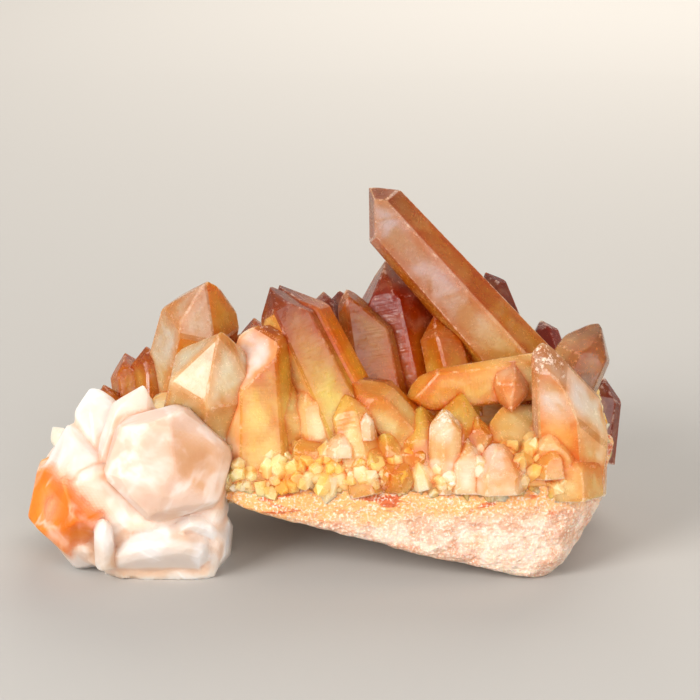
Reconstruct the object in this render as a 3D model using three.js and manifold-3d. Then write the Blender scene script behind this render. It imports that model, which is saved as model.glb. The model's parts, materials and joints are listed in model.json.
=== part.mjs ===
// A tangerine quartz cluster: iron-stained points grown together on a broken slab of massive quartz.
// Millimetres, +Z up. The origin is under the middle of the cluster, on the surface that it rests on.
import * as THREE from "three";
import { ConvexGeometry } from "three/addons/geometries/ConvexGeometry.js";
import { mergeVertices } from "three/addons/utils/BufferGeometryUtils.js";
import Module from "manifold-3d";

const wasm = await Module();
wasm.setup();

// ---- driving dimensions -------------------------------------------------------------------------
const seam = 0.3; // the gap between the crystals and the rock that carries them
const termination = THREE.MathUtils.degToRad(51.8); // a quartz point's faces against the prism's end
const sides = 6;
const roundness = 12; // how sharply the broken faces of the massive quartz meet
const sunk = 8; // how far a crystal's root goes on into what carries it
const middle = new THREE.Vector3(0.5, -3.35, 0); // the middle of the cluster, in the table's numbers
const front = new THREE.Vector3(0, -1, 0);
const up = new THREE.Vector3(0, 0, 1);

// ---- small helpers ------------------------------------------------------------------------------
const vector = (xyz) => new THREE.Vector3(...xyz);

// A repeatable number from 0 to 1 for each pair of whole numbers.
function chance(seed, n) {
  const s = Math.sin(seed * 127.1 + n * 311.7) * 43758.5453;
  return s - Math.floor(s);
}

// Smooth noise from -1 to 1, made of a few crossed waves.
function noise(p, seed) {
  let sum = 0;
  for (let i = 0; i < 5; i++) {
    const a = 6.283 * chance(seed, i);
    const b = 3.142 * chance(seed, i + 20);
    const along = p.x * Math.sin(b) * Math.cos(a) + p.y * Math.sin(b) * Math.sin(a) + p.z * Math.cos(b);
    sum += Math.sin(along * (0.7 + 0.35 * i) + 6.283 * chance(seed, i + 40)) / (1 + 0.35 * i);
  }
  return sum / 2.6;
}

function solidOf(geometry) {
  const bare = geometry.clone();
  bare.deleteAttribute("normal");
  bare.deleteAttribute("uv");
  const merged = mergeVertices(bare, 1e-4);
  return new wasm.Manifold(
    new wasm.Mesh({
      numProp: 3,
      vertProperties: new Float32Array(merged.attributes.position.array),
      triVerts: new Uint32Array(merged.index.array),
    }),
  );
}

function geometryOf(solid) {
  const mesh = solid.getMesh();
  const geometry = new THREE.BufferGeometry();
  geometry.setAttribute("position", new THREE.BufferAttribute(mesh.vertProperties, 3));
  geometry.setIndex(new THREE.BufferAttribute(mesh.triVerts, 1));
  geometry.computeVertexNormals();
  return geometry;
}

function joined(solids) {
  return solids.reduce((a, b) => a.add(b));
}

// ---- one quartz crystal -------------------------------------------------------------------------
// The corners of the solid that a set of planes shuts in. Each plane is { n, d }: points with n.p <= d.
function cornersOf(planes) {
  const corners = [];
  const hit = new THREE.Vector3();
  for (let i = 0; i < planes.length; i++)
    for (let j = i + 1; j < planes.length; j++)
      for (let k = j + 1; k < planes.length; k++) {
        const [a, b, c] = [planes[i], planes[j], planes[k]];
        const bc = new THREE.Vector3().crossVectors(b.n, c.n);
        const size = a.n.dot(bc);
        if (Math.abs(size) < 1e-6) continue;
        hit.copy(bc).multiplyScalar(a.d);
        hit.addScaledVector(new THREE.Vector3().crossVectors(c.n, a.n), b.d);
        hit.addScaledVector(new THREE.Vector3().crossVectors(a.n, b.n), c.d);
        hit.divideScalar(size);
        if (planes.every((p) => p.n.dot(hit) <= p.d + 1e-4)) corners.push(hit.clone());
      }
  return corners;
}

// root and tip are the ends of its long axis, and sink is how far the root goes on into the rock. wide
// and deep are half its width across and from front to back, turn says which way its first prism face
// looks, counted from the front. reach gives the six prism faces their own distances from the long axis,
// and off moves the prism sideways and forwards from the tip's line. drop sets the six faces of the point
// back from the tip. Each cut is a broken or extra face: a direction to look along, and how far short of
// the tip it stops.
function crystal(spec, seed) {
  const { root, tip, sink = sunk, wide, deep = wide, turn = 0 } = spec;
  const { reach, off = [0, 0], drop, taper = 2, cuts = [] } = spec;
  const top = vector(tip);
  const axis = top.clone().sub(vector(root)).normalize();
  const foot = vector(root).addScaledVector(axis, -sink);
  const nearer = Math.abs(front.dot(axis)) < 0.8 ? front : up;
  const toFront = nearer.clone().addScaledVector(axis, -nearer.dot(axis)).normalize();
  const toRight = new THREE.Vector3().crossVectors(toFront, axis).negate();
  const planes = [{ n: axis.clone().negate(), d: -axis.dot(foot) }];
  for (let k = 0; k < sides; k++) {
    const angle = THREE.MathUtils.degToRad(turn + (360 / sides) * k);
    const out = toFront.clone().multiplyScalar(Math.cos(angle)).addScaledVector(toRight, Math.sin(angle));
    const even = Math.hypot(wide * Math.sin(angle), deep * Math.cos(angle));
    const far = reach ? reach[k] : even * (0.93 + 0.14 * chance(seed, k));
    const shift = off[0] * Math.sin(angle) + off[1] * Math.cos(angle);
    const lean = THREE.MathUtils.degToRad(taper * (0.5 + chance(seed, k + 10)));
    const side = out.clone().multiplyScalar(Math.cos(lean)).addScaledVector(axis, Math.sin(lean));
    const onSide = foot.clone().addScaledVector(out, far + shift);
    planes.push({ n: side, d: side.dot(onSide) });
    const end = axis.clone().multiplyScalar(Math.cos(termination));
    end.addScaledVector(out, Math.sin(termination));
    const natural = (k % 2 ? 0.5 : 0.12) * wide * chance(seed, k + 30);
    const onEnd = top.clone().addScaledVector(axis, -(drop ? drop[k] : natural));
    planes.push({ n: end, d: end.dot(onEnd) });
  }
  for (const [x, y, z, short] of cuts) {
    const n = new THREE.Vector3(x, y, z).normalize();
    planes.push({ n, d: n.dot(top) - short });
  }
  return solidOf(new ConvexGeometry(cornersOf(planes)));
}

const crystals = {
  // the tall middle and what stands beside it
  tallBlade: { root: [40.5, -4, 34.6], tip: [4.2, 7.5, 73], wide: 6.4, turn: -3,
    reach: [6.4, 6.8, 6.7, 6.4, 6.4, 6.4], drop: [0, 2, 2.6, 1, 6.4, 6.4], taper: 1.6 },
  smoky: { root: [9.8, -7, 30], tip: [5.5, 3, 53.8], wide: 5.9, turn: 9,
    reach: [4.5, 6.4, 6.2, 5, 5.2, 5.6], drop: [-1, 5.4, 3, 0, 1, 0.6] },
  rustBroad: { root: [16.7, 2, 29.7], tip: [10.9, 10, 56.5], wide: 8.4, turn: -15 },
  amberNotch: { root: [25.5, -6, 32.4], tip: [21.9, 1, 45.9], wide: 4.8, turn: 24 },
  leaning: { root: [8.7, -22, 20.3], tip: [-10.8, -8, 57.3], wide: 7.6, turn: 14,
    reach: [6, 6, 6, 6, 7.6, 7.6], drop: [1.5, 5, 3, 1, 0, 0.5] },
  leaningRim: { root: [10.5, -20, 20.4], tip: [-9.3, -5, 56], wide: 7.6, turn: 14,
    reach: [6, 6, 6, 6, 7.6, 7.6], drop: [1.5, 3.6, 3, 1, 0, 0.5] },
  // the left shoulder
  leftBack: { root: [-30.2, 9, 25.1], tip: [-23.7, 0, 53.9], wide: 8.6, turn: 2,
    reach: [8, 8, 8, 8, 8.6, 8.2], drop: [1.5, 2.5, 0, 1, 1, 0.5] },
  redCap: { root: [-12.7, -24, 17.2], tip: [-13.6, -16, 53.7], sink: 0, wide: 7.2, turn: 6,
    reach: [5.8, 6.4, 6, 6, 6.6, 7.2], cuts: [[-0.05, -0.2, 0.98, 6.36], [-0.5, -0.5, 0.7, 5.02]] },
  honeyBroad: { root: [-13.1, -18.5, 12.1], tip: [-7.7, -14, 42.1], sink: 0, wide: 9.4, turn: 22 },
  honeyFill: { root: [0.7, -21, 13], tip: [-3.7, -15, 40.8], sink: 0, wide: 7.4, turn: 12 },
  creamBlock: { root: [-24.5, -14, 25.5], tip: [-20.3, -23, 49.4], sink: 2, wide: 9.2, turn: 28,
    reach: [9.4, 12, 9, 8, 9.4, 9.4], drop: [1, 0, 0, 0, 0, 0] },
  farLeft: { root: [-36, 2, 20], tip: [-37.5, 10, 37], wide: 4.6, turn: 20 },
  farLeftB: { root: [-39, 4, 19], tip: [-42.5, 12, 35], wide: 4.6 },
  farLeftC: { root: [-43.5, 0, 18.5], tip: [-47.5, 6, 29.5], wide: 3.8, turn: 10 },
  // the ledge and the right-hand end
  lowSlant: { root: [22.8, -22, 18.1], tip: [4.7, -18, 39.2], sink: 2, wide: 5.2, turn: 5,
    drop: [0, 2.5, 1, 0, 0, 0.5] },
  lowSlantRim: { root: [24, -20, 18.7], tip: [5.7, -15.5, 38.6], sink: 2, wide: 4.8, turn: 5,
    drop: [0, 2.2, 1, 0, 0, 0] },
  lowSlantB: { root: [7.9, -27, 19.6], tip: [3.7, -21, 36.9], sink: 3, wide: 4.6, turn: -15 },
  ledge: { root: [41.5, -12, 36.4], tip: [15.1, -17, 34.2], sink: 2, wide: 4.6, turn: 6,
    reach: [3, 4.6, 4, 4, 4, 4.8], drop: [0, 2, 0, 0, 0, 0] },
  ledgeStep: { root: [25.8, -20, 25.5], tip: [27.1, -17, 35.5], sink: 4, wide: 6.6, turn: -20 },
  pinkWedge: { root: [36.8, -12, 37.2], tip: [36.9, -20, 31], sink: 0, wide: 3.7, turn: 12 },
  rightRidge: { root: [45, -21, 17], tip: [42.5, -20, 47.5], sink: 0, wide: 7.6, deep: 6.8, turn: -20,
    off: [4.6, 0.5], drop: [0, 0, 0, 2, 2, 0], taper: 3,
    cuts: [[0.1, -0.2, 0.97, 0.8], [0.78, -0.45, 0.45, -2.4], [1, -0.1, -0.1, -16]] },
  rightClear: { root: [45.9, -12, 28], tip: [55.8, -6, 47.2], wide: 6.4, turn: 10 },
  rightDark: { root: [56.2, 6, 15.5], tip: [58.2, 11, 29], sink: 4, wide: 4 },
  honeyUnder: { root: [19.5, -23, 16.8], tip: [19.3, -19, 34.9], sink: 0, wide: 6.2, turn: 12 },
  paleFill: { root: [33.4, -19, 14.9], tip: [32.6, -11, 37.7], sink: 0, wide: 9, turn: 14,
    cuts: [[-0.25, -0.72, 0.65, 7.5]] },
  paleA: { root: [38.7, -24, 18], tip: [39.3, -15, 36.5], sink: 0, wide: 7, turn: 24,
    cuts: [[0.3, -0.6, 0.75, 3]] },
  paleB: { root: [46.7, -24, 19.5], tip: [45.6, -23, 33.4], sink: 0, wide: 5.5, turn: -15 },
  creamStud: { root: [24, -27, 17.5], tip: [23.7, -25, 35.3], sink: 0, wide: 3.8, turn: 20,
    cuts: [[0, -0.3, 0.95, 1.4]] },
  creamStudB: { root: [27.8, -28, 17.8], tip: [27.9, -26.5, 29.1], sink: 0, wide: 3.8 },
  pinkStud: { root: [34.1, -28, 17.8], tip: [33.8, -26, 29.4], sink: 0, wide: 5.8, turn: 5,
    cuts: [[0.1, -0.15, 1, 2]] },
  amberBead: { root: [30.2, -24, 23.8], tip: [30.2, -21.5, 32.4], sink: 0, wide: 3.1,
    cuts: [[0, -0.2, 0.97, 0.8]] },
  amberChip: { root: [44.6, -28, 20.4], tip: [44.1, -26, 28.5], sink: 0, wide: 3.3, turn: 15 },
  paleFront: { root: [49.4, -25.5, 15.6], tip: [48.5, -23.5, 28.9], sink: 0, wide: 5.4, turn: -12 },
  paleFrontB: { root: [52.1, -22, 14.7], tip: [52.7, -19.5, 25.3], sink: 0, wide: 3.8, turn: 18 },
  honeyStep: { root: [13.1, -21, 17.3], tip: [11.4, -27, 30.6], sink: 2, wide: 5, turn: 15 },
  whiteChip: { root: [2.7, -28, 25], tip: [2.9, -27, 31], sink: 0, wide: 2.6, turn: 10,
    cuts: [[0.3, -0.5, 0.9, 1.2]] },
  whiteChipB: { root: [7.9, -27, 28], tip: [7.9, -25.5, 33.6], sink: 0, wide: 1.6, turn: 0 },
  // the back
  backDark: { root: [40.5, 12, 32], tip: [33.5, 24, 48.5], sink: 16, wide: 3.6 },
  backSmall: { root: [48.5, 8, 29], tip: [45, 18, 39.5], sink: 12, wide: 3.4 },
  backPlum: { root: [0.5, 12, 29.5], tip: [-1.5, 24, 44.5], wide: 4.5, turn: 10 },
  backPlumB: { root: [3.5, 16, 25.5], tip: [2.5, 28, 43], wide: 4.8, turn: 10 },
  backPlumC: { root: [-13.5, 2, 31], tip: [-15.5, 10, 43], wide: 4.4, turn: 10 },
  midLeft: { root: [-19, 2, 24], tip: [-19, 6, 41], wide: 5, turn: 25 },
  midRight: { root: [32, 5, 24], tip: [34, 10, 38], wide: 4.6 },
  midRightB: { root: [42, 2, 24], tip: [45, 6, 36], wide: 4.6, turn: 15 },
  rearTall: { root: [23, 12, 24], tip: [24, 23, 47], wide: 5.5, turn: 15 },
  rearMid: { root: [12, 14, 22], tip: [13, 31, 38], wide: 5.5, turn: 5 },
  rearMidB: { root: [30, 14, 22], tip: [35, 30, 35], wide: 5, turn: 25 },
  rearLow: { root: [3, 18, 18], tip: [3, 34, 28], wide: 5, turn: 10 },
  rearLowB: { root: [22, 18, 18], tip: [24, 35, 26], wide: 4.5 },
  rearLeft: { root: [-18, 8, 22], tip: [-25, 22, 38], wide: 6, turn: 20 },
  rearLeftB: { root: [-28, 8, 18], tip: [-37, 21, 28], wide: 5 },
  rearLeftC: { root: [-14, 14, 18], tip: [-18, 31, 27], wide: 5, turn: 10 },
  rearRight: { root: [44, 8, 20], tip: [53, 20, 32], wide: 4.8, turn: 10 },
  rearRightB: { root: [40, 14, 18], tip: [46, 29, 26], wide: 4.4, turn: 25 },
  // the milky points of the left lobe
  whiteSpear: { root: [-41.1, -25, 23.9], tip: [-36.3, -23, 39.2], sink: 4, wide: 4.8, deep: 3.6, turn: -8,
    drop: [1, 0, 0, 0, 1, 1] },
  whiteStub: { root: [-44.7, -20, 23.4], tip: [-47, -14, 36.2], wide: 5, turn: 20,
    cuts: [[0.3, -0.1, 0.9, 1.2]] },
  whiteShoulder: { root: [-49.4, -22, 20.3], tip: [-52.2, -19, 31.5], sink: 4, wide: 8, turn: 10,
    cuts: [[-0.5, -0.3, 0.8, 1]] },
  peachDome: { root: [-31.2, -18, 19.4], tip: [-31, -50, 31.5], sink: 2, wide: 11.6, turn: 15,
    cuts: [[-0.2, -0.95, 0.16, 10.8], [0.5, -0.8, 0.2, 10.6]] },
  whiteFootA: { root: [-34.1, -18, -1.2], tip: [-32.1, -46, 11], sink: 0, wide: 11.2, deep: 9, turn: 12,
    cuts: [[0, -0.97, 0.2, 5.5], [-0.5, -0.8, 0.3, 6.4], [0.45, -0.85, 0.25, 6.6],
      [0, -0.6, 0.8, 7], [0, -0.8, -0.6, 6]] },
  whiteFootB: { root: [-27.2, -16, 2.4], tip: [-25.8, -40, 12.4], sink: 0, wide: 7.6, turn: 24,
    cuts: [[0.3, -0.92, 0.2, 3.6], [0, -0.8, -0.6, 3]] },
  whiteFootC: { root: [-43.8, -32, 3.2], tip: [-44.1, -34.5, 15.3], sink: 0, wide: 2.1, turn: 20,
    cuts: [[-0.4, -0.2, 0.9, 0.8]] },
  orangeFace: { root: [-49.8, -14, 11.5], tip: [-49.6, -40, 17.5], sink: 0, wide: 9.4, turn: 18,
    cuts: [[-0.3, -0.95, 0.05, 3.2]] },
  lowerLeft: { root: [-46.5, -16, 6], tip: [-49, -36, 8.5], sink: 0, wide: 7.6, turn: 10,
    cuts: [[-0.3, -0.9, -0.2, 2.2]] },
};

// ---- the massive quartz -------------------------------------------------------------------------
// A lump is shut in by broken faces, each [nx, ny, nz, distance from the centre]. reachOf is how far its
// surface is from the centre in one direction, with rounded edges and a rough skin.
function reachOf({ faces, rough, seed }, direction) {
  const press = faces.reduce((sum, [x, y, z, distance]) => {
    const facing = new THREE.Vector3(x, y, z).normalize().dot(direction);
    return sum + Math.max(0, facing / distance) ** roundness;
  }, 0);
  const reach = press ** (-1 / roundness);
  const place = direction.clone().multiplyScalar(reach);
  return reach + rough * (noise(place.clone().multiplyScalar(0.35), seed) + noise(place, seed + 1) / 2);
}

// stretch sets where its triangles are finer, and grow swells the whole of it.
function lump(spec, grow = 0) {
  const geometry = new THREE.IcosahedronGeometry(1, spec.detail);
  const position = geometry.attributes.position;
  const p = new THREE.Vector3();
  for (let i = 0; i < position.count; i++) {
    p.fromBufferAttribute(position, i).multiply(vector(spec.stretch)).normalize();
    p.multiplyScalar(reachOf(spec, p) + grow).add(vector(spec.centre));
    position.setXYZ(i, p.x, p.y, p.z);
  }
  return solidOf(geometry);
}

// The granular rock underneath: thick on the right, thin on the left, with a sloping underside.
const slab = {
  centre: [20, -2, 12],
  stretch: [2.2, 1.6, 1],
  detail: 6,
  rough: 0.5,
  seed: 3,
  faces: [
    [0, -1, 0.1, 30],
    [0, 1, 0.15, 28],
    [-1, 0, 0, 42],
    [1, -0.1, -0.12, 38],
    [0.78, -0.2, -0.6, 32.5],
    [0.7, 0.7, 0, 39],
    [0.8, -0.6, 0.1, 43],
    [-0.7, 0.7, 0, 37],
    [0, -0.2, 0.98, 12.4],
    [0, 0.2, 0.98, 9],
    [-0.25, -0.1, -0.96, 10],
    [0, 0, -1, 22],
  ],
};

// The fused quartz that all the points grow from.
const bed = {
  centre: [10, -2, 20],
  stretch: [2.4, 1.6, 1],
  detail: 5,
  rough: 0.8,
  seed: 5,
  faces: [
    [0, -0.75, 0.66, 22.4],
    [0, -1, 0, 30.2],
    [0, -0.55, -0.84, 17],
    [0, 1, 0.35, 29],
    [-1, 0, 0.2, 48],
    [1, 0, 0.2, 45],
    [0.7, -0.7, 0.2, 47],
    [0.7, 0.7, 0.2, 42],
    [-0.7, 0.7, 0.2, 42],
    [-0.7, -0.7, 0, 42],
    [0, -0.2, 1, 9.5],
    [0, 0.35, 0.93, 10],
    [0, 0, -1, 9],
  ],
};

// The lump at the left that the milky points cover.
const lobe = {
  centre: [-38, -17, 15],
  stretch: [1, 1, 0.9],
  detail: 4,
  rough: 0.8,
  seed: 8,
  faces: [
    [-1, -0.1, 0.1, 19],
    [-0.5, 0, -0.87, 15],
    [0, -1, 0, 15],
    [1, 0, -0.1, 18],
    [0, 1, 0, 22],
    [0, 0, 1, 9],
    [0, 0, -1, 16],
    [-0.6, 0, 0.8, 13],
  ],
};

// Small points over the skin of the lump that they are on: count of them from one azimuth to another,
// counted from the right and round by the back, at heights from low to high in degrees. They are from
// small to large across, rise says how far they stand up instead of out, and tall is their least length
// for their width.
function druse({ on: spec, count, azimuths, heights, small, large, rise, tall, seed }) {
  return Array.from({ length: count }, (_, i) => {
    const along = (i + 0.8 * chance(seed, i)) / count;
    const azimuth = THREE.MathUtils.degToRad(THREE.MathUtils.lerp(...azimuths, along));
    const height = THREE.MathUtils.degToRad(THREE.MathUtils.lerp(...heights, chance(seed, i + 100)));
    const direction = new THREE.Vector3(
      Math.cos(height) * Math.cos(azimuth), Math.cos(height) * Math.sin(azimuth), Math.sin(height));
    const wide = THREE.MathUtils.lerp(small, large, chance(seed, i + 200));
    const foot = direction.clone().multiplyScalar(reachOf(spec, direction) - wide).add(vector(spec.centre));
    const lean = direction.clone().add(new THREE.Vector3(
      0.8 * chance(seed, i + 300) - 0.4, 0.6 * chance(seed, i + 400) - 0.3, rise)).normalize();
    const tip = foot.clone().addScaledVector(lean, wide * (tall + chance(seed, i + 500)));
    const turn = 60 * chance(seed, i + 600);
    return crystal({ root: foot.toArray(), tip: tip.toArray(), sink: 1, wide, turn }, seed + i);
  });
}

const druses = [
  { on: bed, count: 18, azimuths: [210, 322], heights: [-6, 10], small: 2, large: 4.2, rise: 0.5,
    tall: 1.4, seed: 11 },
  { on: bed, count: 11, azimuths: [10, 170], heights: [2, 14], small: 2.4, large: 4, rise: 0.8,
    tall: 2.4, seed: 13 },
  { on: bed, count: 6, azimuths: [20, 160], heights: [18, 32], small: 2.4, large: 4, rise: 0.8,
    tall: 2.4, seed: 14 },
  { on: lobe, count: 5, azimuths: [90, 150], heights: [0, 45], small: 2, large: 3.6, rise: 0.8,
    tall: 2.4, seed: 15 },
];

// ---- join and cut -------------------------------------------------------------------------------
const ground = solidOf(new THREE.BoxGeometry(400, 400, 100).translate(0, 0, -50));
const points = Object.values(crystals).map((spec, i) => crystal(spec, i + 1));
const grown = joined([lump(bed), lump(lobe), ...points, ...druses.flatMap(druse)]);
const carved = grown.subtract(lump(slab, seam)).subtract(ground);
const byVolume = (a, b) => b.volume() - a.volume();

// The cuts can leave specks too thin to see, so only the largest body of the crystals is kept.
const solids = {
  matrix: lump(slab).subtract(ground),
  crystals: carved.decompose().sort(byVolume)[0],
};

// ---- the assembly -------------------------------------------------------------------------------
const finish = {
  matrix: new THREE.MeshStandardMaterial({ color: 0xecc9a5, roughness: 0.9, metalness: 0 }),
  crystals: new THREE.MeshStandardMaterial({ color: 0xe38c38, roughness: 0.25, metalness: 0 }),
};

const cluster = new THREE.Group();
cluster.position.copy(middle).negate();
for (const [name, solid] of Object.entries(solids)) {
  const mesh = new THREE.Mesh(geometryOf(solid), finish[name]);
  mesh.name = name;
  cluster.add(mesh);
}

const group = new THREE.Group();
group.add(cluster);
export default group;
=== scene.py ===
import itertools
import json
import math
from functools import partial

import bmesh
import bpy
import numpy as np
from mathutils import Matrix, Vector, noise

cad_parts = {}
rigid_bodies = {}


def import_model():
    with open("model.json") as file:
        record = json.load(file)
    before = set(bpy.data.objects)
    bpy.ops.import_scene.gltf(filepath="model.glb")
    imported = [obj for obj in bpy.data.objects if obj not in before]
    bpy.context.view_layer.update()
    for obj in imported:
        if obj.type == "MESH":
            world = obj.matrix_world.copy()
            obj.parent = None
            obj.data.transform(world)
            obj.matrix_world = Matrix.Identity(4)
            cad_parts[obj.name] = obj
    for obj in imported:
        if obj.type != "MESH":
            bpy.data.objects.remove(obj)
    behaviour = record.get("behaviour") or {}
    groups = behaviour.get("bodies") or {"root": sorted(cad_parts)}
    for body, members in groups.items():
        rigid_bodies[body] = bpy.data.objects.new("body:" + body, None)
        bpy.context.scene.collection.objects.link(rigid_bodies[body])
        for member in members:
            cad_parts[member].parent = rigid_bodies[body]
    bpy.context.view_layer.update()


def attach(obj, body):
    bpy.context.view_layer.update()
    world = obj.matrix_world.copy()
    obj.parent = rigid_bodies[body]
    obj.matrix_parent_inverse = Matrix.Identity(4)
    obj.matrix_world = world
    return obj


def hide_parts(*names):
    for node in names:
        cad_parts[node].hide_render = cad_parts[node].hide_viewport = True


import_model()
scene = bpy.context.scene
mm = 0.001
middle = np.array([0.5, -3.35, 0.0])  # the cluster's middle in the numbers used below, which are millimetres


def chance(seed, n):  # a repeatable number from 0 to 1
    s = math.sin(seed * 127.1 + n * 311.7) * 43758.5453
    return s - math.floor(s)


def unit(v):
    v = np.asarray(v, float)
    return v / np.linalg.norm(v)


def toLinear(hexColour):
    channels = [int(hexColour[i:i + 2], 16) / 255 for i in (1, 3, 5)]
    linear = [c / 12.92 if c <= 0.04045 else ((c + 0.055) / 1.055) ** 2.4 for c in channels]
    return (*linear, 1.0)


def smooth(low, high, x):
    t = np.clip((x - low) / (high - low), 0, 1)
    return t * t * (3 - 2 * t)


def place(points):  # from the numbers used here to the frame's metres
    return (np.asarray(points, float) - middle) * mm


def meshFrom(name, bm):
    mesh = bpy.data.meshes.new(name)
    bm.to_mesh(mesh)
    bm.free()
    return mesh


def addObject(name, mesh, collection=None):
    thing = bpy.data.objects.new(name, mesh)
    (collection or scene.collection).objects.link(thing)
    return thing


view = {"distance": 600, "elevation": 18, "lens": 150, "aim": (4.2, 3.35, 38)}

tilt = math.radians(view["elevation"])
camera = addObject("camera", bpy.data.cameras.new("camera"))
camera.data.lens = view["lens"]
camera.data.clip_start = 0.01
away = view["distance"] * np.array((0, -math.cos(tilt), math.sin(tilt)))
camera.location = (view["aim"] + away) * mm
camera.rotation_euler = (math.radians(90) - tilt, 0, 0)
scene.camera = camera

# metres and watts; glints says whether a lamp shows as a highlight
lights = {
    "window": {"place": (-0.62, -0.6, 0.5), "size": 0.45, "power": 9.4, "colour": "#fffdfa"},
    "fill": {"place": (0.4, -0.9, 0.34), "size": 0.7, "power": 7.3, "colour": "#fffcf8"},
    "back": {"place": (0.15, 0.6, 0.42), "size": 0.6, "power": 5.1, "colour": "#fff8ee", "glints": False},
}
lampAim = Vector((0, 0, 0.03))
studio = {"walls": "#ecebe9", "strength": 0.5, "floor": "#b4b1ad", "floorHalf": 3}  # floorHalf in metres

for name, spec in lights.items():
    data = bpy.data.lights.new(name, "AREA")
    data.size = spec["size"]
    data.energy = spec["power"]
    data.color = toLinear(spec["colour"])[:3]
    lamp = addObject(name, data)
    lamp.location = spec["place"]
    lamp.visible_glossy = spec.get("glints", True)
    lamp.rotation_euler = (lampAim - lamp.location).to_track_quat("-Z", "Y").to_euler()

scene.view_settings.view_transform = "Standard"
world = bpy.data.worlds.new("studio")
scene.world = world
world.use_nodes = True
surround = world.node_tree.nodes["Background"]
surround.inputs["Color"].default_value = toLinear(studio["walls"])
surround.inputs["Strength"].default_value = studio["strength"]
print("camera and lights are set")


def newMaterial(name):  # an empty material, and addNode for its tree
    material = bpy.data.materials.new(name)
    material.use_nodes = True
    material.node_tree.nodes.clear()
    return material, partial(addNode, material.node_tree)


def addNode(tree, kind, settings=None, inputs=None):
    # a kind without Node in its name is a shader node; inputs holds a node or socket to link from,
    # a hex colour, or another value that the socket keeps
    node = tree.nodes.new(kind if "Node" in kind else "ShaderNode" + kind)
    for key, value in (settings or {}).items():
        setattr(node, key, value)
    for key, value in (inputs or {}).items():
        named = [socket for socket in node.inputs if socket.name == key and socket.enabled]
        socket = named[0] if named else node.inputs[key]
        if isinstance(value, bpy.types.Node):
            value = next(output for output in value.outputs if output.enabled)
        if isinstance(value, bpy.types.NodeSocket):
            tree.links.new(value, socket)
        else:
            socket.default_value = toLinear(value) if str(value).startswith("#") else value
    return node


softly = {"interpolation_type": "SMOOTHSTEP"}
coloured = {"data_type": "RGBA"}
tinted = {"data_type": "RGBA", "blend_type": "MULTIPLY"}
minus = {"operation": "SUBTRACT"}
times = {"operation": "MULTIPLY"}
timesPlus = {"operation": "MULTIPLY_ADD"}
inMillimetres = (1 / mm, 1 / mm, 1 / mm)
quartzIor = 1.54


def makeFloorMaterial():  # matt painted board: pale and even
    material, add = newMaterial("pale board")
    surface = add("BsdfPrincipled", inputs={"Base Color": studio["floor"], "Roughness": 0.85})
    add("OutputMaterial", inputs={"Surface": surface})
    return material


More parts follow.
